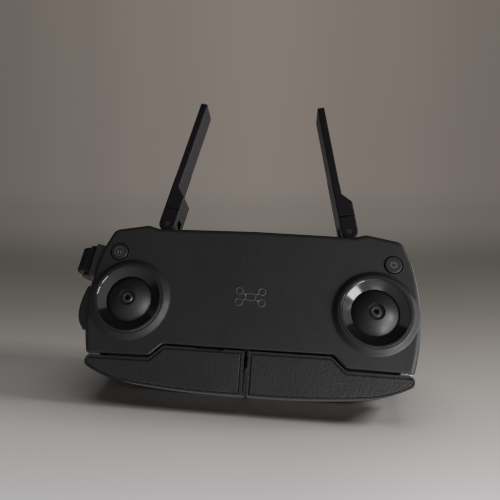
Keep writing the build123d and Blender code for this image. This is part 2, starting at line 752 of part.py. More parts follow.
# ---------------------------------------------------------------- shoulder buttons
SHOULDER_CAP_ROOT, SHOULDER_CAP_H = -2.6, 3.9
SHOULDER_FLANGE_T = 1.1


def shoulder_button(plane):
    with BuildPart() as button:
        with BuildSketch(plane.offset(SHOULDER_CAP_ROOT - SHOULDER_FLANGE_T)):
            SlotOverall(13.2, 8.2)
        extrude(amount=SHOULDER_FLANGE_T)
        with BuildSketch(plane.offset(SHOULDER_CAP_ROOT)):
            SlotOverall(11.0, 6.0)
        extrude(amount=SHOULDER_CAP_H)
        fillet(button.faces().sort_by(Axis.Z)[-1].edges(), 0.6)
    return button.part


save(shoulder_button(shoulder_left), "record_button")
save(shoulder_button(shoulder_right), "shutter_button")

# ---------------------------------------------------------------- tilt dial
DIAL_NOTCHES = 32
AXLE_L = 14.6
DIAL_BRACKET_H, DIAL_BRACKET_GAP = 14.8, 11.7

with BuildPart() as gimbal_dial:
    with BuildSketch(dial_plane.offset(-DIAL_W / 2)):
        Circle(DIAL_CORE_R)
    extrude(amount=DIAL_W)
    with BuildSketch(dial_plane.offset(-6)):
        Circle(DIAL_AXLE_R + 0.05)
    extrude(amount=12, mode=Mode.SUBTRACT)
save(gimbal_dial.part, "gimbal_dial")

with BuildPart() as dial_grip_ring:
    with BuildSketch(dial_plane.offset(-DIAL_W / 2)):
        Circle(DIAL_R)
    extrude(amount=DIAL_W)
    fillet(dial_grip_ring.edges().filter_by(GeomType.CIRCLE), 0.7)
    with BuildSketch(dial_plane.offset(-DIAL_W / 2)):
        Circle(DIAL_CORE_R + 0.02)
    extrude(amount=DIAL_W, mode=Mode.SUBTRACT)
    with BuildSketch(dial_plane.offset(-DIAL_W / 2)):
        with PolarLocations(DIAL_R + 0.05, DIAL_NOTCHES):
            Rectangle(1.0, 0.7)
    extrude(amount=DIAL_W, mode=Mode.SUBTRACT)
save(dial_grip_ring.part, "dial_grip_ring")

with BuildPart() as dial_axle:
    with BuildSketch(dial_plane.offset(-AXLE_L / 2)):
        Circle(DIAL_AXLE_R)
    extrude(amount=AXLE_L)
save(dial_axle.part, "dial_axle")

with BuildPart() as dial_bracket:
    with BuildSketch(dial_plane.offset(-DIAL_BRACKET_H / 2)):
        Circle(9.9)
        with Locations((-8.9, 0)):
            Rectangle(20, 30, mode=Mode.SUBTRACT)
        Circle(5.6)
        with Locations((1.2, 0)):
            Rectangle(3.0, 11.2)
    extrude(amount=DIAL_BRACKET_H)
    with BuildSketch(dial_plane.offset(-DIAL_BRACKET_GAP / 2)):
        Circle(8.75)
    extrude(amount=DIAL_BRACKET_GAP, mode=Mode.SUBTRACT)
    with BuildSketch(dial_plane.offset(-8)):
        Circle(DIAL_AXLE_R)
    extrude(amount=16, mode=Mode.SUBTRACT)
save(dial_bracket.part, "dial_bracket")

# ---------------------------------------------------------------- antennas
# Both antennas are the same part, so each has its thin edge on its left side.
BLADE_LEFT, BLADE_RIGHT = -4.0, 3.8    # across the root of the blade
BLADE_ROOT = 8.05
KNUCKLE_TOP = 7.9
ANTENNA_FILLET = 0.6
ROOT_EDGE_Z = 48.6      # blade end edges centred below this stay sharp
KNUCKLE_GAP = 6.4       # slot for the lug
ELEMENT_X = -2.2


def along(side):
    """Plane across the hinge axis end on: x across the blade, normal up its length."""
    return sloped_plane(side * ANTENNA_X, ANTENNA_MID, ANTENNA_Z, -side * ANTENNA_LEAN)


def across(side, depth):
    """Plane facing the user: x across the blade, y along it, origin on the hinge axis."""
    return Plane(origin=(side * ANTENNA_X, y(depth), ANTENNA_Z), x_dir=along(side).x_dir,
                 z_dir=(0, -1, 0))


def antenna_knuckle(side):
    with BuildPart() as knuckle:
        with BuildSketch(across(side, ANTENNA_BACK)):
            with BuildLine():
                Polyline((BLADE_LEFT, 0), (BLADE_LEFT, KNUCKLE_TOP),
                         (BLADE_RIGHT, KNUCKLE_TOP), (BLADE_RIGHT, 0))
                ThreePointArc((BLADE_RIGHT, 0), (-0.1, -4.0), (BLADE_LEFT, 0))
            make_face()
        extrude(amount=ANTENNA_T)
        fillet(knuckle.faces().sort_by(Axis.Y)[0].edges(), ANTENNA_FILLET)
        fillet(knuckle.faces().sort_by(Axis.Y)[-1].edges(), ANTENNA_FILLET)
        with BuildSketch(across(side, ANTENNA_MID + KNUCKLE_GAP / 2)):
            with Locations((0, -0.4)):
                Rectangle(12, 9.4)
        extrude(amount=KNUCKLE_GAP, mode=Mode.SUBTRACT)
        with BuildSketch(across(side, ANTENNA_BACK + 1)):
            Circle(1.55)
        extrude(amount=ANTENNA_T + 2, mode=Mode.SUBTRACT)
    return knuckle.part


def antenna_blade(side):
    tip = ANTENNA_L
    half_t = ANTENNA_T / 2
    middle = across(side, ANTENNA_MID)
    with BuildPart() as blade:
        with BuildSketch(across(side, ANTENNA_BACK)):
            with BuildLine():
                Line((BLADE_LEFT, BLADE_ROOT), (-4.05, tip - 1.5))
                ThreePointArc((-4.05, tip - 1.5), (-3.61, tip - 0.44), (-2.55, tip))
                Line((-2.55, tip), (-1.95, tip))
                ThreePointArc((-1.95, tip), (-0.89, tip - 0.44), (-0.45, tip - 1.5))
                Polyline((-0.45, tip - 1.5), (-0.45, 19.5), (BLADE_RIGHT, 14.8),
                         (BLADE_RIGHT, BLADE_ROOT), (BLADE_LEFT, BLADE_ROOT))
            make_face()
        extrude(amount=ANTENNA_T)
        for end in (0, -1):
            edges = blade.faces().sort_by(Axis.Y)[end].edges()
            fillet(edges.filter_by(lambda e: e.center().Z > ROOT_EDGE_Z), ANTENNA_FILLET)
        # the tip is rounded at both ends, with the larger radius at the back
        with BuildSketch(Plane(origin=middle.from_local_coords((-5.0, 0, 0)),
                               x_dir=(0, 1, 0), z_dir=middle.x_dir)):
            with BuildLine():
                Line((-half_t - 1, tip - 2.0), (-half_t, tip - 2.0))
                ThreePointArc((-half_t, tip - 2.0), (-6.41, tip - 0.59), (-5.0, tip))
                Line((-5.0, tip), (3.0, tip))
                ThreePointArc((3.0, tip), (5.83, tip - 1.17), (half_t, tip - 4.0))
                Polyline((half_t, tip - 4.0), (half_t + 1, tip - 4.0), (half_t + 1, tip + 1.0),
                         (-half_t - 1, tip + 1.0), (-half_t - 1, tip - 2.0))
            make_face()
        extrude(amount=10.0, mode=Mode.SUBTRACT)
        # cavity for the element
        with BuildSketch(along(side).offset(8.0)):
            with Locations((ELEMENT_X, 0)):
                Rectangle(1.3, 9.6)
        extrude(amount=56.0, mode=Mode.SUBTRACT)
    return blade.part


def antenna_element(side):
    with BuildPart() as element:
        with BuildSketch(along(side).offset(9.0)):
            with Locations((ELEMENT_X, 0)):
                Rectangle(0.8, 9.0)
        extrude(amount=54.0)
    return element.part


def antenna_pin(side):
    with BuildPart() as pin:
        with BuildSketch(across(side, 21.6)):
            Circle(1.48)
        extrude(amount=13.2)
    return pin.part


for side_name, side in (("left", -1), ("right", 1)):
    save(antenna_knuckle(side), f"antenna_knuckle_{side_name}")
    save(antenna_blade(side), f"antenna_blade_{side_name}")
    save(antenna_element(side), f"antenna_element_{side_name}")
    save(antenna_pin(side), f"antenna_pin_{side_name}")

# x, depth, z of the right-hand lead
CABLE_ROUTE = [(27.0, 24.6, 18.0), (33.0, 22.0, 30.2), (40.0, 18.5, 31.0)]
with BuildPart() as antenna_cables:
    for side in (-1, 1):
        with BuildLine():
            lead = Spline(*[(side * x, y(depth), z) for x, depth, z in CABLE_ROUTE],
                          tangents=((0, 0, 1), (side, -0.2, 0)))
        with BuildSketch(Plane(origin=lead @ 0, z_dir=lead % 0)):
            Circle(0.6)
        sweep(path=lead)
save(antenna_cables.part, "antenna_cables")

# ---------------------------------------------------------------- phone clamps
ARM_INNER_X = 0.85
ARM_TOP_Z, ARM_BOTTOM_Z = -19.5, -37.8
PAD_T, PAD_MARGIN = 0.9, 0.9
PAD_GROOVE = 0.6        # how much larger the recess is than the textured panel
PHONE_SLOT_X = 19.0
SPARE_Z = -29.8         # axis of the spare thumb stick
PIN_R = 1.0

with BuildSketch() as clamp_outline:
    # right clamp
    with BuildLine():
        Polyline((ARM_INNER_X, ARM_TOP_Z), (35.9, ARM_TOP_Z), (42.2, -25.2), (62.0, -25.3))
        Line((62.0, -25.3), (67.0, -25.0))
        ThreePointArc((67.0, -25.0), (69.7, -27.7), (68.55, -30.0))
        ThreePointArc((68.55, -30.0), (60.5, -33.45), (50.5, -35.6))
        ThreePointArc((50.5, -35.6), (28.0, -37.35), (ARM_INNER_X, ARM_BOTTOM_Z))
        Line((ARM_INNER_X, ARM_BOTTOM_Z), (ARM_INNER_X, ARM_TOP_Z))
    make_face()
    for corner_x in (35.9, 42.2):
        fillet(corners_at(clamp_outline, corner_x), 2.0)


def pad_outline(groove):
    """Textured panel, enlarged by a groove; it stops short of the upper and inner edges."""
    with BuildSketch() as pad:
        add(clamp_outline.sketch)
        offset(amount=-PAD_MARGIN + groove / 2, kind=Kind.INTERSECTION)
        with BuildLine():
            Polyline((0, -10), (0, -60), (2.5 - groove, -60), (2.5 - groove, -20.9 + groove),
                     (35.4 + groove / 2, -20.9 + groove), (41.7 + groove / 2, -26.6 + groove),
                     (62.0, -26.7 + groove), (80, -26.7 + groove), (80, -10), (0, -10))
        make_face(mode=Mode.SUBTRACT)
    return pad.sketch


recess_outline = pad_outline(PAD_GROOVE)
panel_outline = pad_outline(0)

with BuildPart() as clamp_arm_right:
    with BuildSketch(at(CLAMP_BACK)):
        add(clamp_outline.sketch)
    extrude(amount=CLAMP_DEPTH)
    # recess for the textured panel
    with BuildSketch(at(CLAMP_FRONT + PAD_T)):
        add(recess_outline)
    extrude(amount=2.0, mode=Mode.SUBTRACT)
    # phone slot
    with BuildSketch(Plane.XY.offset(-25.0)):
        with Locations((PHONE_SLOT_X, y(CLAMP_MID))):
            Rectangle(30.0, 10.0)
    extrude(amount=10.0, mode=Mode.SUBTRACT)
    # bay for the spare thumb stick under the phone slot: head, then stem
    with BuildSketch(Plane.XY.offset(-34.6)):
        with Locations((9.4, y(CLAMP_MID))):
            Rectangle(4.8, 9.8)
    extrude(amount=10.0, mode=Mode.SUBTRACT)
    with BuildSketch(Plane.XY.offset(-32.5)):
        with Locations((20.0, y(CLAMP_MID))):
            Rectangle(22.0, 5.4)
    extrude(amount=8.0, mode=Mode.SUBTRACT)
    # fork slots for the hinge bracket
    for depth in HINGE_DEPTHS:
        with BuildSketch(at(depth + 0.9)):
            with Locations((68.3, CLAMP_Z)):
                Rectangle(8.0, 14.0)
        extrude(amount=1.8, mode=Mode.SUBTRACT)
    # pin hole
    with BuildSketch(at(CLAMP_BACK - 0.8)):
        with Locations((CLAMP_X, CLAMP_Z)):
            Circle(PIN_R + 0.05)
    extrude(amount=CLAMP_DEPTH - 1.9, mode=Mode.SUBTRACT)
save(clamp_arm_right.part, "clamp_arm_right")

with BuildPart() as clamp_arm_left:
    add(mirror(clamp_arm_right.part, about=Plane.YZ, mode=Mode.PRIVATE))
    # fingernail notch in the upper edge
    with BuildSketch(at(CLAMP_FRONT + 1.3)):
        with BuildLine():
            Polyline((-23.5, -19.0), (-20.5, -20.55), (-11.5, -20.55), (-8.5, -19.0),
                     (-23.5, -19.0))
        make_face()
    extrude(amount=3.0, mode=Mode.SUBTRACT)
save(clamp_arm_left.part, "clamp_arm_left")

with BuildPart() as grip_pad:
    with BuildSketch(at(CLAMP_FRONT + PAD_T)):
        add(panel_outline)
    extrude(amount=PAD_T)
    pad_rim = grip_pad.faces().sort_by(Axis.Y)[0].edges()
    fillet(pad_rim.filter_by(lambda e: e.length > 3), 0.25)
save_pair(grip_pad.part, "grip_pad")

# strips on the front and back walls of the phone slot
with BuildPart() as phone_pads:
    with BuildSketch(Plane.XY.offset(-24.8)):
        with Locations(*[(PHONE_SLOT_X, y(CLAMP_MID + shift)) for shift in (-4.55, 4.55)]):
            Rectangle(29.4, 0.8)
    extrude(amount=4.6)
save_pair(phone_pads.part, "phone_pads")

# spare thumb stick lying along X in its bay: x, radius
SPARE_PROFILE = [(7.2, 0), (7.2, 3.2), (7.9, 4.6), (10.6, 4.6), (11.5, 3.0), (11.5, 2.5),
                 (25.5, 2.0), (25.5, 1.2), (30.4, 1.2), (30.4, 0), (7.2, 0)]
spare_origin = (0, y(CLAMP_MID), SPARE_Z)
with BuildPart() as stowed_stick:
    with BuildSketch(Plane(origin=spare_origin, x_dir=(1, 0, 0), z_dir=(0, -1, 0))):
        with BuildLine():
            Polyline(*SPARE_PROFILE)
        make_face()
    revolve(axis=Axis(spare_origin, (1, 0, 0)))
save_pair(stowed_stick.part, "stowed_stick")

CHEEK_T = 1.2
with BuildPart() as hinge_bracket:
    # cheeks: eye, neck and the tab that enters the case
    for depth in HINGE_DEPTHS:
        with BuildSketch(at(depth + CHEEK_T / 2)):
            with Locations((CLAMP_X, CLAMP_Z)):
                Circle(2.4)
            with Locations((CLAMP_X, -26.1)):
                Rectangle(4.8, 3.3)
            with Locations((HINGE_TAB_X, -23.0)):
                Rectangle(2.9, 4.4)
        extrude(amount=CHEEK_T)
    # plate that joins the cheeks inside the case
    with BuildSketch(Plane.XY.offset(-22.05)):
        with Locations((65.0, y(HINGE_MID))):
            Rectangle(5.2, 11.5)
    extrude(amount=1.15)
    with BuildSketch(at(14.6)):
        with Locations((CLAMP_X, CLAMP_Z)):
            Circle(PIN_R)
    extrude(amount=11.8, mode=Mode.SUBTRACT)
    with BuildSketch(Plane.XY.offset(-22.1)):
        with Locations((BRACKET_SCREW_X, y(HINGE_MID))):
            Circle(1.1)
    extrude(amount=1.4, mode=Mode.SUBTRACT)
save_pair(hinge_bracket.part, "hinge_bracket")

with BuildPart() as clamp_pin:
    with BuildSketch(at(CLAMP_BACK - 1.0)):
        with Locations((CLAMP_X, CLAMP_Z)):
            Circle(PIN_R)
    extrude(amount=CLAMP_DEPTH - 2.3)
save_pair(clamp_pin.part, "clamp_pin")

# driven down through the bracket plates: radius, bottom z, height of head and shank
BRACKET_SCREW_STEPS = [(1.7, -20.9, 0.9), (0.97, -23.5, 2.6)]
with BuildPart() as bracket_screws:
    for side in (-1, 1):
        for radius, bottom, height in BRACKET_SCREW_STEPS:
            with BuildSketch(Plane.XY.offset(bottom)):
                with Locations((side * BRACKET_SCREW_X, y(HINGE_MID))):
                    Circle(radius)
            extrude(amount=height)
save(bracket_screws.part, "bracket_screws")
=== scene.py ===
"""A twin-stick remote controller with folded clamps, leaning back on a pale table.

In its frame X runs to the right, the face looks along -Y and Z runs up the face. The controller
rests tilted, so the table has its own axes: RIGHT, BACK and UP. Lengths are metres; those in
millimetres are scaled by MM.
"""
import json
import math
import bpy
import bmesh
from mathutils import Vector, Matrix


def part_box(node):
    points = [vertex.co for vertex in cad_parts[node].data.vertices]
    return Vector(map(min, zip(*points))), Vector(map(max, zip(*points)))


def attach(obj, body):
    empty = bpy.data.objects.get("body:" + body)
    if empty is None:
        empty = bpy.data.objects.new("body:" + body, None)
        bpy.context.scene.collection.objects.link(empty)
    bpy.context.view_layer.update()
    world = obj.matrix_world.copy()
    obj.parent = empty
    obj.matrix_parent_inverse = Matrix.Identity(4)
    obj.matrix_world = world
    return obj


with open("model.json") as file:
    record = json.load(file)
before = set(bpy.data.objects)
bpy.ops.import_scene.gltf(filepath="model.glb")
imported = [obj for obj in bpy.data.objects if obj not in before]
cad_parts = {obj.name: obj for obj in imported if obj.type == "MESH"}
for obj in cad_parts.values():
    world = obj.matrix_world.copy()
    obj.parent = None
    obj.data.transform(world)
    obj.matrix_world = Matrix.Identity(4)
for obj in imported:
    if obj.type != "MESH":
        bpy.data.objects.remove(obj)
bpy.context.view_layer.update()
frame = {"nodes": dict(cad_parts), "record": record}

scene = bpy.context.scene
MM = 0.001

UP = Vector((0.0, -0.469, 0.883)).normalized()
RIGHT = Vector((1.0, 0.0, 0.0))
BACK = UP.cross(RIGHT).normalized()
TABLE_HEIGHT = -20.1 * MM    # along UP


# ------------------------------------------------------------------ colours
def srgb(*levels):
    """Linear RGBA from three levels of 0 to 255."""
    linear = []
    for level in levels:
        c = level / 255.0
        linear.append(c / 12.92 if c <= 0.04045 else ((c + 0.055) / 1.055) ** 2.4)
    return (*linear, 1.0)


def grey(level):
    return (level, level, level, 1.0)


def lighter(colour, factor, lift=0.0):
    return tuple(min(1.0, c * factor + lift) for c in colour[:3]) + (1.0,)


# ------------------------------------------------------------------ node helpers
class Nodes:
    """A node tree, with short ways to add the nodes used here. Each helper returns a socket."""

    def __init__(self, tree):
        self.tree = tree
        tree.nodes.clear()

    def node(self, kind, **props):
        node = self.tree.nodes.new(kind)
        for key, value in props.items():
            setattr(node, key, value)
        return node

    def put(self, socket, value):
        """Link the value if it is a socket, otherwise set it."""
        if isinstance(value, bpy.types.NodeSocket):
            self.tree.links.new(value, socket)
        else:
            socket.default_value = value

    def math(self, operation, a, b, clamp=False):
        node = self.node("ShaderNodeMath", operation=operation, use_clamp=clamp)
        self.put(node.inputs[0], a)
        self.put(node.inputs[1], b)
        return node.outputs[0]

    def add(self, a, b, clamp=False):
        return self.math("ADD", a, b, clamp)

    def times(self, a, b):
        return self.math("MULTIPLY", a, b)

    def vector(self, operation, a, b=None):
        node = self.node("ShaderNodeVectorMath", operation=operation)
        self.put(node.inputs[0], a)
        if b is not None:
            self.put(node.inputs[1], b)
        return node.outputs["Vector" if operation == "SUBTRACT" else "Value"]

    def span(self, value, over=(0.3, 0.7), to=(0.0, 1.0)):
        """Map one range to another, clamped. Most noise lies within the default range."""
        node = self.node("ShaderNodeMapRange", clamp=True)
        self.put(node.inputs["Value"], value)
        for key, limit in zip(("From Min", "From Max", "To Min", "To Max"), (*over, *to)):
            node.inputs[key].default_value = limit
        return node.outputs["Result"]

    def mix(self, amount, a, b, blend="MIX"):
        node = self.node("ShaderNodeMix", data_type="RGBA", blend_type=blend)
        self.put(node.inputs[0], amount)
        self.put(node.inputs[6], a)
        self.put(node.inputs[7], b)
        return node.outputs[2]

    def ramp(self, value, stops, kind="EASE"):
        """Colour ramp through stops of (position, colour)."""
        node = self.node("ShaderNodeValToRGB")
        node.color_ramp.interpolation = kind
        while len(node.color_ramp.elements) < len(stops):
            node.color_ramp.elements.new(0.5)
        for element, (position, colour) in zip(node.color_ramp.elements, stops):
            element.position = position
            element.color = colour
        self.put(node.inputs[0], value)
        return node.outputs[0]


class Surface(Nodes):
    """A material built round one Principled shader."""

    def __init__(self, name):
        self.material = bpy.data.materials.new(f"{name}_m")
        self.material.use_nodes = True
        super().__init__(self.material.node_tree)
        self.output = self.node("ShaderNodeOutputMaterial")
        self.shader = self.node("ShaderNodeBsdfPrincipled")
        self.put(self.output.inputs["Surface"], self.shader.outputs[0])

    def set(self, key, value):
        self.put(self.shader.inputs[key], value)

    def position_mm(self, stretch=(1, 1, 1)):
        """Position on the piece at rest, in millimetres."""
        coordinates = self.node("ShaderNodeTexCoord")
        mapping = self.node("ShaderNodeMapping")
        mapping.inputs["Scale"].default_value = [1000 * s for s in stretch]
        self.put(mapping.inputs["Vector"], coordinates.outputs["Object"])
        return mapping.outputs[0]

    def noise(self, where, scale, detail=3.0, rough=0.55, distortion=0.0):
        node = self.node("ShaderNodeTexNoise")
        self.put(node.inputs["Vector"], where)
        node.inputs["Scale"].default_value = scale
        node.inputs["Detail"].default_value = detail
        node.inputs["Roughness"].default_value = rough
        node.inputs["Distortion"].default_value = distortion
        return node.outputs["Fac"]

    def voronoi(self, where, scale, feature="F1", randomness=1.0):
        node = self.node("ShaderNodeTexVoronoi", feature=feature)
        self.put(node.inputs["Vector"], where)
        node.inputs["Scale"].default_value = scale
        node.inputs["Randomness"].default_value = randomness
        return node.outputs["Distance"]

    def shade(self, colour, tone):
        """The colour multiplied by a grey tone."""
        combine = self.node("ShaderNodeCombineColor")
        for i in range(3):
            self.put(combine.inputs[i], tone)
        return self.mix(1.0, colour, combine.outputs[0], "MULTIPLY")

    def bump(self, height, depth_mm, strength=1.0, normal=None):
        node = self.node("ShaderNodeBump")
        node.inputs["Strength"].default_value = strength
        node.inputs["Distance"].default_value = depth_mm * MM
        self.put(node.inputs["Height"], height)
        if normal is not None:
            self.put(node.inputs["Normal"], normal)
        return node.outputs[0]

    def rounded(self, radius_mm):
        node = self.node("ShaderNodeBevel", samples=4)
        node.inputs["Radius"].default_value = radius_mm * MM
        return node.outputs[0]

    def edges(self, radius_mm):
        """About 1 on convex and concave edges, 0 on flat faces."""
        bevel = self.rounded(radius_mm)
        geometry = self.node("ShaderNodeNewGeometry")
        agreement = self.vector("DOT_PRODUCT", bevel, geometry.outputs["Normal"])
        return self.span(agreement, over=(0.98, 0.75))

    def spot(self, where, centre, radius):
        """A soft-edged patch round a point, in millimetres."""
        distance = self.vector("LENGTH", self.vector("SUBTRACT", where, centre))
        return self.span(distance, over=(radius * 0.55, radius), to=(1.0, 0.0))


# ------------------------------------------------------------------ materials
def plastic(name, base, rough, grain=3.2, grain_mm=0.010, leather=0.0, leather_mm=0.03,
            edge=0.5, edge_tone=2.1, vary=0.12, spec=0.5, specks=0.0, scuffs=(),
            scuff_tone=2.4, round_mm=0.14):
    """Moulded plastic with spark-eroded grain, worn edges, faint blotches and handling marks.

    grain and leather are texture scales, and grain_mm and leather_mm are their depths. edge and
    specks are strengths, vary is the spread of tone, edge_tone and scuff_tone brighten the worn
    parts, and scuffs lists (centre, radius) in millimetres.
    """
    s = Surface(name)
    where = s.position_mm()
    fine = s.noise(where, scale=grain, detail=4.0, rough=0.6)
    broad = s.noise(where, scale=0.035, detail=2.0, rough=0.5)
    patches = s.noise(where, scale=0.16, detail=5.0, rough=0.62)
    tone = s.add(s.span(broad, to=(1.0 - vary, 1.0 + vary)),
                 s.span(fine, to=(-vary * 0.9, vary * 0.9)))
    colour = s.shade(base, tone)
    roughness = s.add(rough, s.span(patches, over=(0.35, 0.7), to=(-0.06, 0.06)))
    roughness = s.add(roughness, s.span(fine, to=(-0.04, 0.04)))
    if edge > 0:
        worn = s.edges(radius_mm=0.22)
        broken = s.span(s.noise(where, scale=0.55, detail=4.0, rough=0.65),
                        over=(0.38, 0.62), to=(0.35, 1.0))
        worn = s.times(s.times(worn, broken), edge)
        colour = s.mix(worn, colour, lighter(base, edge_tone))
        roughness = s.math("SUBTRACT", roughness, s.times(worn, 0.12))
    if specks > 0:
        dots = s.voronoi(where, scale=0.42)
        chosen = s.span(s.noise(where, scale=0.42, detail=0.0), over=(0.60, 0.66))
        dust = s.times(s.span(dots, over=(0.035, 0.06), to=(1.0, 0.0)), chosen)
        colour = s.mix(s.times(dust, specks), colour, lighter(base, factor=3.2, lift=0.01))
    for centre, radius in scuffs:
        patch = s.spot(where, centre, radius)
        streaks = s.noise(where, scale=1.1, detail=3.0, rough=0.7, distortion=1.2)
        marks = s.span(streaks, over=(0.57, 0.64))
        colour = s.mix(s.times(s.times(patch, marks), 0.6), colour,
                       lighter(base, scuff_tone, lift=0.012))
    s.set("Base Color", colour)
    s.set("Roughness", s.add(roughness, 0.0, clamp=True))
    s.set("Specular IOR Level", spec)
    s.set("IOR", 1.5)
    normal = s.rounded(round_mm) if round_mm > 0 else None
    if leather > 0:
        cells = s.voronoi(where, scale=leather, feature="SMOOTH_F1")
        creases = s.span(cells, over=(0.0, 0.75), to=(1.0, 0.0))
        wobble = s.noise(where, scale=leather * 1.7, detail=3.0, rough=0.6)
        normal = s.bump(s.add(creases, s.times(wobble, 0.5)), leather_mm, normal=normal)
    s.set("Normal", s.bump(fine, grain_mm, normal=normal))
    return s.material


def gloss(name, base, rough):
    """Polished plastic with a clear coat, hairline scratches and lighter edges."""
    s = Surface(name)
    hair = s.noise(s.position_mm(stretch=(1.0, 5.0, 5.0)), scale=1.6, detail=4.0, rough=0.7)
    haze = s.noise(s.position_mm(), scale=0.25, detail=4.0, rough=0.6)
    worn = s.times(s.edges(radius_mm=0.16), 0.35)
    colour = s.shade(base, s.span(haze, to=(0.85, 1.15)))
    s.set("Base Color", s.mix(worn, colour, lighter(base, factor=3.0, lift=0.01)))
    haze_rough = s.span(haze, over=(0.35, 0.7), to=(-0.02, 0.06))
    s.set("Roughness", s.add(rough, haze_rough, clamp=True))
    s.set("Specular IOR Level", 0.6)
    s.set("Coat Weight", 1.0)
    s.set("Coat Roughness", s.add(0.05, s.span(hair, over=(0.5, 0.75), to=(0.0, 0.03))))
    s.set("Normal", s.bump(hair, depth_mm=0.0012, strength=0.5,
                           normal=s.rounded(radius_mm=0.08)))
    return s.material


def metal(name, base, rough, brushed, aniso=0.2):
    """Metal with fine lines, set by the stretch in brushed, and duller patches."""
    s = Surface(name)
    lines = s.noise(s.position_mm(brushed), scale=1.2, detail=4.0, rough=0.65)
    dull = s.noise(s.position_mm(), scale=0.5, detail=4.0, rough=0.6)
    tone = s.add(s.span(lines, to=(0.9, 1.1)), s.span(dull, over=(0.35, 0.7), to=(-0.08, 0.04)))
    s.set("Base Color", s.shade(base, tone))
    s.set("Metallic", 1.0)
    s.set("Roughness", s.add(rough, s.span(dull, to=(-0.05, 0.09)), clamp=True))
    s.set("Anisotropic", aniso)
    s.set("Normal", s.bump(lines, depth_mm=0.003, strength=0.6,
                           normal=s.rounded(radius_mm=0.07)))
    return s.material


def board(name):
    """Green-black solder mask, with copper traces that show through it."""
    s = Surface(name)
    where = s.position_mm()
    brick = s.node("ShaderNodeTexBrick")
    s.put(brick.inputs["Vector"], where)
    brick.inputs["Scale"].default_value = 0.5
    brick.inputs["Mortar Size"].default_value = 0.06
    grid = s.voronoi(s.position_mm(stretch=(1, 0.1, 1)), scale=0.7, randomness=0.2)
    trace = s.span(grid, over=(0.10, 0.14), to=(1.0, 0.0))
    cloud = s.span(s.noise(where, scale=0.2), over=(0.4, 0.6))
    colour = s.mix(cloud, srgb(14, 46, 32), srgb(18, 58, 40))
    colour = s.mix(s.times(brick.outputs["Fac"], 0.5), colour, srgb(28, 78, 54))
    s.set("Base Color", s.mix(trace, colour, srgb(190, 165, 95)))
    s.set("Roughness", s.span(s.noise(where, scale=2.0), to=(0.25, 0.4)))
    s.set("Normal", s.bump(brick.outputs["Fac"], depth_mm=0.02, strength=0.7))
    return s.material


def rubber(name, base, rough):
    """Matt rubber with fine grain, dusty patches and worn edges."""
    s = Surface(name)
    where = s.position_mm()
    fine = s.noise(where, scale=4.0, detail=4.0, rough=0.7)
    dust = s.noise(where, scale=0.3, detail=5.0, rough=0.65)
    worn = s.times(s.edges(radius_mm=0.3), 0.45)
    colour = s.mix(s.span(dust, over=(0.5, 0.8), to=(0.0, 0.35)), base,
                   lighter(base, factor=2.2))
    s.set("Base Color", s.mix(worn, colour, lighter(base, factor=2.6)))
    s.set("Roughness", s.add(rough, s.span(fine, to=(-0.06, 0.06)), clamp=True))
    s.set("Specular IOR Level", 0.35)
    s.set("Normal", s.bump(fine, depth_mm=0.012, normal=s.rounded(radius_mm=0.12)))
    return s.material


def clear(name):
    """Smoky plastic that lets a little light through."""
    s = Surface(name)
    cloud = s.noise(s.position_mm(), scale=0.8)
    s.set("Base Color", s.mix(cloud, srgb(44, 43, 45), srgb(52, 52, 54)))
    s.set("Roughness", s.span(cloud, to=(0.36, 0.5)))
    s.set("Transmission Weight", 0.08)
    s.set("Normal", s.bump(cloud, depth_mm=0.004))
    return s.material


# material slot: maker and its settings
SLOTS = {
    "case_plastic": (plastic, dict(
        base=srgb(31, 30, 31), rough=0.50, spec=0.4, grain=2.6, grain_mm=0.016, edge=0.75,
        specks=0.5, scuffs=(((-17.1, -46.0, -9.0), 3.2), ((12.0, -46.0, 20.0), 2.0)))),
    "clamp_plastic": (plastic, dict(
        base=srgb(31, 30, 32), rough=0.48, spec=0.4, grain=2.6, grain_mm=0.014, edge=1.0,
        edge_tone=2.8)),
    "grip_texture": (plastic, dict(
        base=srgb(32, 32, 33), rough=0.50, spec=0.4, grain=3.4, grain_mm=0.016, leather=1.15,
        leather_mm=0.08, edge=0.35, specks=0.4, scuffs=(((39.2, -45.5, -30.4), 2.4),),
        scuff_tone=3.2)),
    "gloss_black": (gloss, dict(base=srgb(15, 14, 15), rough=0.12)),
    "dome_plastic": (plastic, dict(
        base=srgb(24, 24, 25), rough=0.46, grain=4.5, grain_mm=0.004, vary=0.08, round_mm=0.1)),
    "antenna_plastic": (plastic, dict(
        base=srgb(16, 13, 16), rough=0.42, grain=3.6, grain_mm=0.006, edge_tone=2.4, spec=0.25)),
    "rubber_black": (rubber, dict(base=srgb(24, 24, 25), rough=0.82)),
    "port_plastic": (plastic, dict(base=srgb(26, 25, 26), rough=0.5, grain=3.0)),
    "steel": (metal, dict(base=srgb(215, 214, 212), rough=0.22, brushed=(1.0, 1.0, 14.0))),
    "screw_steel": (metal, dict(base=srgb(70, 70, 74), rough=0.34, brushed=(3, 3, 3))),
    "spring_steel": (metal, dict(base=srgb(185, 186, 190), rough=0.25, brushed=(6, 6, 6))),
    "socket_metal": (metal, dict(base=srgb(96, 96, 100), rough=0.34, brushed=(5, 1, 5))),
    "circuit_board": (board, {}),
    "frame_plastic": (plastic, dict(base=srgb(62, 62, 64), rough=0.55, grain=2.4)),
    "clear_plastic": (clear, {}),
    "cell_sleeve": (plastic, dict(
        base=srgb(52, 78, 120), rough=0.35, grain=1.2, grain_mm=0.003, edge=0.2)),
    "cable_jacket": (rubber, dict(base=srgb(58, 58, 60), rough=0.6)),
}
MATERIALS = {slot: make(slot, **settings) for slot, (make, settings) in SLOTS.items()}

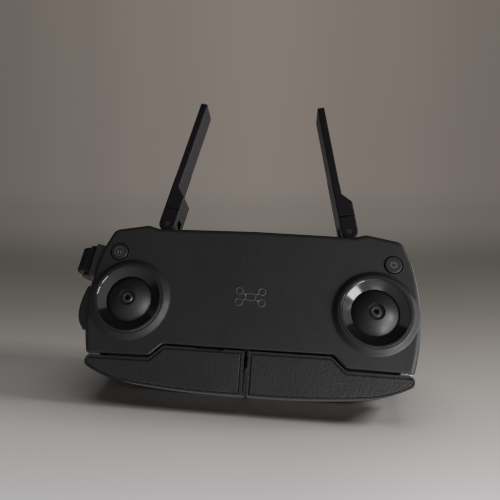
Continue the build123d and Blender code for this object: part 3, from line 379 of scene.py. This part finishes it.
# pieces whose look differs from that of their slot
bracket_steel = metal("bracket_steel", base=srgb(196, 195, 193), rough=0.46,
                      brushed=(2, 2, 2), aniso=0.0)
SPECIAL_LOOKS = {
    "dial_bracket": MATERIALS["port_plastic"],
    "gimbal_dial": MATERIALS["port_plastic"],
    "hinge_bracket_left": bracket_steel,
    "hinge_bracket_right": bracket_steel,
}


def dress_pieces():
    """Give each piece the material of its recorded slot, or else of the slot it came with."""
    recorded = {part["node"]: part.get("material_slot")
                for part in frame["record"].get("subparts") or []}
    for name, obj in frame["nodes"].items():
        own = [m.name.split(".")[0] for m in obj.data.materials if m]
        slot = recorded.get(name) or next((m for m in own if m in MATERIALS), None)
        if slot not in MATERIALS:
            slot = "case_plastic"
        obj.data.materials.clear()
        obj.data.materials.append(SPECIAL_LOOKS.get(name) or MATERIALS[slot])


dress_pieces()


# ------------------------------------------------------------------ raised marks
# Lengths in this section are millimetres. Paths are (x, z) points in the face plane.
SINK = 0.02    # how far a bead's foot lies below the surface


def add_mesh(name, bm, material):
    mesh = bpy.data.meshes.new(name)
    bm.to_mesh(mesh)
    bm.free()
    obj = bpy.data.objects.new(name, mesh)
    scene.collection.objects.link(obj)
    mesh.materials.append(material)
    return obj


def add_mark(name, bm, material, body):
    """Turn beads into a smooth mesh that rides on a body."""
    bmesh.ops.recalc_face_normals(bm, faces=bm.faces)
    for face in bm.faces:
        face.smooth = True
    obj = add_mesh(name, bm, material)
    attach(obj, body)


def bead(bm, path, width, height, front, closed=False):
    """A low moulded line with a rounded top, on the surface at y = front."""
    foot = -SINK / height
    # across the line in widths, out from the surface in heights
    profile = [(-0.5, foot), (-0.46, 0.25), (-0.32, 0.75), (-0.12, 1.0),
               (0.12, 1.0), (0.32, 0.75), (0.46, 0.25), (0.5, foot)]
    count = len(path)
    rings = []
    for i, (x, z) in enumerate(path):
        before = path[(i - 1) % count] if closed or i else path[i]
        after = path[(i + 1) % count] if closed or i < count - 1 else path[i]
        dx, dz = after[0] - before[0], after[1] - before[1]
        length = math.hypot(dx, dz)
        across_x, across_z = -dz / length, dx / length
        rings.append([bm.verts.new(((x + across_x * side * width) * MM,
                                    (front - out * height) * MM,
                                    (z + across_z * side * width) * MM))
                      for side, out in profile])
    for i in range(count if closed else count - 1):
        ring, following = rings[i], rings[(i + 1) % count]
        for j in range(len(profile) - 1):
            bm.faces.new((ring[j], ring[j + 1], following[j + 1], following[j]))
        bm.faces.new((ring[-1], ring[0], following[0], following[-1]))
    if not closed:
        bm.faces.new(rings[0])
        bm.faces.new(list(reversed(rings[-1])))


def arc(x, z, radius, steps, start=0, sweep=360):
    """Points round a centre, in degrees. A full circle doesn't repeat its first point."""
    angles = [math.radians(start + sweep * i / steps)
              for i in range(steps if sweep == 360 else steps + 1)]
    return [(x + radius * math.cos(a), z + radius * math.sin(a)) for a in angles]


def rounded_rect(x, z, width, height, radius):
    points = []
    for side_x, side_z, start in ((1, 1, 0), (-1, 1, 90), (-1, -1, 180), (1, -1, 270)):
        points += arc(x + side_x * (width / 2 - radius), z + side_z * (height / 2 - radius),
                      radius, steps=6, start=start, sweep=90)
    return points


def face_mark():
    """A four-rotor pictogram in outline, in the middle of the face."""
    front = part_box("front_shell")[0].y / MM + 2.0    # the face lies 2 mm behind the collars
    mark_x, mark_z = 0.0, 4.0
    height = 0.16
    line = 0.42
    bm = bmesh.new()
    hull = rounded_rect(mark_x, mark_z, width=4.6, height=3.0, radius=1.1)
    bead(bm, hull, line, height, front, closed=True)
    for sx in (-1, 1):
        for sz in (-1, 1):
            rotor = arc(mark_x + sx * 5.0, mark_z + sz * 2.5, radius=1.55, steps=32)
            bead(bm, rotor, line, height, front, closed=True)
            arm = [(mark_x + sx * 2.25, mark_z + sz * 1.0),
                   (mark_x + sx * 3.55, mark_z + sz * 1.75)]
            bead(bm, arm, width=0.5, height=height, front=front)
    paint = plastic("face_mark", base=srgb(76, 75, 76), rough=0.44, grain=2.6, grain_mm=0.008,
                    edge=0.0, vary=0.1, round_mm=0.0)
    add_mark("face_mark", bm, paint, "case")


def key_icons():
    """The pause icon on the left key and the power icon on the right key."""
    paint = plastic("icon_print", base=srgb(98, 97, 99), rough=0.45, grain=4.0,
                    grain_mm=0.003, edge=0.0, vary=0.2, round_mm=0.0)
    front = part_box("pause_button")[0].y / MM
    key_x, key_z = 62.0, 22.0
    height = 0.035

    pause = bmesh.new()
    for dx in (-0.62, 0.62):
        bar = [(-key_x + dx, key_z - 0.95), (-key_x + dx, key_z + 0.95)]
        bead(pause, bar, width=0.42, height=height, front=front)
    bead(pause, arc(-key_x, key_z, radius=2.0, steps=36), width=0.2, height=0.03,
         front=front, closed=True)
    add_mark("pause_icon", pause, paint, "pause_key")

    power = bmesh.new()
    open_ring = arc(key_x, key_z, radius=1.35, steps=30, start=120, sweep=300)
    stem = [(key_x, key_z + 0.35), (key_x, key_z + 1.75)]
    for path in (open_ring, stem):
        bead(power, path, width=0.36, height=height, front=front)
    add_mark("power_icon", power, paint, "power_key")


face_mark()
key_icons()


# ------------------------------------------------------------------ camera
def add_camera():
    """In front of the face, below its middle, looking back and up in the controller's frame."""
    data = bpy.data.cameras.new("camera")
    data.sensor_width = 36.0
    data.lens = 36.0
    data.clip_start = 0.01
    camera = bpy.data.objects.new("camera", data)
    scene.collection.objects.link(camera)
    axes = Matrix(((0.99489, 0.06845, 0.07419),      # picture right
                   (-0.04763, -0.32961, 0.94292),    # picture up
                   (0.08899, -0.94163, -0.32467)))   # towards the viewer
    pose = axes.transposed().to_4x4()
    pose.translation = Vector((18.43, -259.78, -47.9)) * MM
    camera.matrix_world = pose
    scene.camera = camera


add_camera()

# ------------------------------------------------------------------ lights
MIDDLE = Vector((0, -0.023, 0.01))
RIGHT_STICK = Vector((0.054, -0.046, 0.0))


def toward(direction, distance):
    return Vector(direction).normalized() * distance


def table_offset(right, back, up):
    """An offset level with the table."""
    return RIGHT * right + BACK * back + UP * up


def area(name, target, offset, size, power, colour):
    """An area light at an offset from its target, facing it."""
    data = bpy.data.lights.new(name, "AREA")
    data.shape = "RECTANGLE"
    data.size, data.size_y = size
    data.energy = power
    data.color = colour
    data.spread = math.pi
    light = bpy.data.objects.new(name, data)
    scene.collection.objects.link(light)
    light.location = target + offset
    light.rotation_mode = "QUATERNION"
    light.rotation_quaternion = (target - light.location).to_track_quat("-Z", "Y")
    return light


near_lights = [
    # a low bright window to the front right, reflected sharply in the polished rings
    area("window", RIGHT_STICK, toward((0.63, -0.70, -0.26), distance=0.50),
         size=(0.14, 0.20), power=0.55, colour=(0.97, 0.98, 1.0)),
    area("window_low", RIGHT_STICK, Vector((0.13, -0.83, -0.55)) * 0.25,
         size=(0.11, 0.06), power=0.035, colour=(0.97, 0.98, 1.0)),
    # the glare of the pale table on the right, which lights the controller from below
    area("table_glare", RIGHT_STICK, Vector((0.175, -0.11, -0.175)),
         size=(0.14, 0.14), power=0.64, colour=(0.97, 0.985, 1.0)),
    area("key", RIGHT_STICK, toward((0.87, -0.47, -0.04), distance=0.42),
         size=(0.16, 0.16), power=1.1, colour=(1.0, 0.985, 0.97)),
    # the bright wall behind and to the right, which rims the right edges
    area("wall_right", MIDDLE, toward((0.84, 0.47, 0.29), distance=0.62),
         size=(0.34, 0.30), power=1.3, colour=(1.0, 0.98, 0.95)),
]
# high lamp and ceiling, which shade the table
table_lights = [
    area("lamp", MIDDLE, table_offset(right=0.85, back=0.20, up=0.50),
         size=(0.28, 0.28), power=6.0, colour=(1.0, 0.975, 0.95)),
    area("ceiling", MIDDLE, table_offset(right=0.0, back=0.35, up=1.1),
         size=(1.2, 1.0), power=4.8, colour=(1.0, 0.96, 0.92)),
]


# ------------------------------------------------------------------ world
def backdrop(w, window):
    """What the camera sees: a pale table that fades up into a warm grey wall, with light and
    shade painted into both.
    """
    split = w.node("ShaderNodeSeparateXYZ")
    w.put(split.inputs[0], window)
    across, height = split.outputs["X"], split.outputs["Y"]
    # ramp stops are (part of the picture's height or width, colour)
    # painted shade: the table darkens towards the wall
    table = w.ramp(height, [
        (0.0, srgb(193, 191, 191)), (0.10, srgb(180, 176, 175)), (0.17, srgb(167, 163, 160)),
        (0.24, srgb(153, 150, 146)), (0.31, srgb(136, 131, 126)), (0.38, srgb(112, 108, 103)),
        (0.43, srgb(98, 94, 88)), (0.48, srgb(88, 84, 78))], "LINEAR")
    # painted light: the table is lighter to the right and darker to the left
    table_painted_light_across = w.ramp(across, [(0.0, grey(0.82)), (0.5, grey(0.87)), (1.0, grey(1.0))])
    table = w.mix(1.0, table, table_painted_light_across, "MULTIPLY")
    # painted shade: the wall darkens down towards the table
    wall = w.ramp(height, [
        (0.43, srgb(99, 95, 89)), (0.48, srgb(101, 97, 91)), (0.56, srgb(121, 115, 109)),
        (0.64, srgb(130, 121, 115)), (1.0, srgb(131, 122, 115))])
    # painted shade: the wall darkens towards both sides of the picture, most on the left
    wall_painted_shade_across = w.ramp(across, [
        (0.0, grey(0.66)), (0.16, grey(0.77)), (0.30, grey(0.89)), (0.52, grey(1.0)),
        (0.76, grey(0.89)), (1.0, grey(0.74))])
    wall = w.mix(1.0, wall, wall_painted_shade_across, "MULTIPLY")
    return w.mix(w.span(height, over=(0.44, 0.50)), table, wall)


def surroundings(w, view, glossy_ray):
    """What lights the controller: a dark room in front, the wall behind, a bright table below."""
    def along(direction):
        return w.vector("DOT_PRODUCT", view, direction)

    def whole(direction):
        """0 facing against the direction, 1 facing along it."""
        return w.span(along(direction), over=(-1.0, 1.0))

    room = w.ramp(whole(BACK), [
        (0.0, (0.012, 0.011, 0.011, 1)), (0.42, (0.024, 0.023, 0.022, 1)),
        (0.62, (0.070, 0.066, 0.064, 1)), (1.0, (0.125, 0.118, 0.112, 1))])
    table = w.ramp(whole(RIGHT), [
        (0.0, (0.16, 0.15, 0.15, 1)), (0.36, (0.36, 0.35, 0.345, 1)), (0.56, grey(1.1)),
        (0.72, grey(1.5)), (1.0, grey(0.8))])
    far_table = (0.21, 0.20, 0.195, 1.0)
    table = w.mix(w.span(along(BACK), over=(-0.15, 0.45)), table, far_table)
    light = w.mix(w.span(along(UP), over=(-0.10, 0.03), to=(1.0, 0.0)), room, table)

    # a broad dim card in front, which only shows in reflections
    below_top = w.span(along(Vector((0, 0, 1))), over=(0.46, 0.50), to=(1.0, 0.0))
    past_left = w.span(along(RIGHT), over=(-0.82, -0.76))
    in_front = w.span(along(Vector((0, 1, 0))), over=(-0.45, -0.30), to=(1.0, 0.0))
    card = w.times(w.times(w.times(below_top, past_left), in_front), glossy_ray)
    card_tone = w.ramp(whole(RIGHT), [
        (0.08, (0.10, 0.095, 0.10, 1)), (0.22, (0.20, 0.19, 0.20, 1)),
        (0.37, (0.26, 0.25, 0.258, 1)), (0.55, (0.38, 0.37, 0.38, 1)),
        (0.70, (0.50, 0.49, 0.50, 1))], "LINEAR")
    return w.mix(card, light, card_tone)


def add_world():
    world = bpy.data.worlds.new("studio")
    scene.world = world
    world.use_nodes = True
    w = Nodes(world.node_tree)
    coordinates = w.node("ShaderNodeTexCoord").outputs
    rays = w.node("ShaderNodeLightPath").outputs
    seen = backdrop(w, coordinates["Window"])
    light = surroundings(w, coordinates["Generated"], rays["Is Glossy Ray"])
    choose = w.node("ShaderNodeMixShader")
    w.put(choose.inputs[0], rays["Is Camera Ray"])
    for i, colour in ((1, light), (2, seen)):
        background = w.node("ShaderNodeBackground")
        w.put(background.inputs[0], colour)
        w.put(choose.inputs[i], background.outputs[0])
    output = w.node("ShaderNodeOutputWorld")
    w.put(output.inputs[0], choose.outputs[0])


add_world()


# ------------------------------------------------------------------ floor
def floor_material():
    """Pale table top that is transparent from below."""
    s = Surface("floor")
    cloud = s.noise(s.position_mm(), scale=0.02)
    s.set("Base Color", s.mix(cloud, srgb(205, 200, 195), srgb(214, 210, 206)))
    s.set("Roughness", 0.7)
    geometry = s.node("ShaderNodeNewGeometry")
    transparent = s.node("ShaderNodeBsdfTransparent")
    sides = s.node("ShaderNodeMixShader")
    s.put(sides.inputs[0], geometry.outputs["Backfacing"])
    s.put(sides.inputs[1], s.shader.outputs[0])
    s.put(sides.inputs[2], transparent.outputs[0])
    s.put(s.output.inputs["Surface"], sides.outputs[0])
    return s.material


def add_floor():
    """A square that only catches shadows."""
    half = 6.0
    bm = bmesh.new()
    bm.faces.new([bm.verts.new(table_offset(sx * half, sy * half, TABLE_HEIGHT))
                  for sx, sy in ((-1, -1), (1, -1), (1, 1), (-1, 1))])
    obj = add_mesh("floor", bm, floor_material())
    obj.is_shadow_catcher = True
    obj.visible_glossy = False
    obj.visible_shadow = False
    return obj


def light_only(name, objects, lights):
    """Let the lights reach only the given objects."""
    receivers = bpy.data.collections.new(name)
    for obj in objects:
        receivers.objects.link(obj)
    for light in lights:
        light.light_linking.receiver_collection = receivers


floor = add_floor()
controller = [obj for obj in scene.objects if obj.type == "MESH" and obj is not floor]
controller = [obj for obj in controller if obj.name != floor.name]
light_only("table_only", [floor], table_lights)
light_only("controller_only", controller, near_lights)

scene.view_settings.view_transform = "Standard"
scene.view_settings.look = "None"
scene.view_settings.exposure = 0.0
scene.view_settings.gamma = 1.0
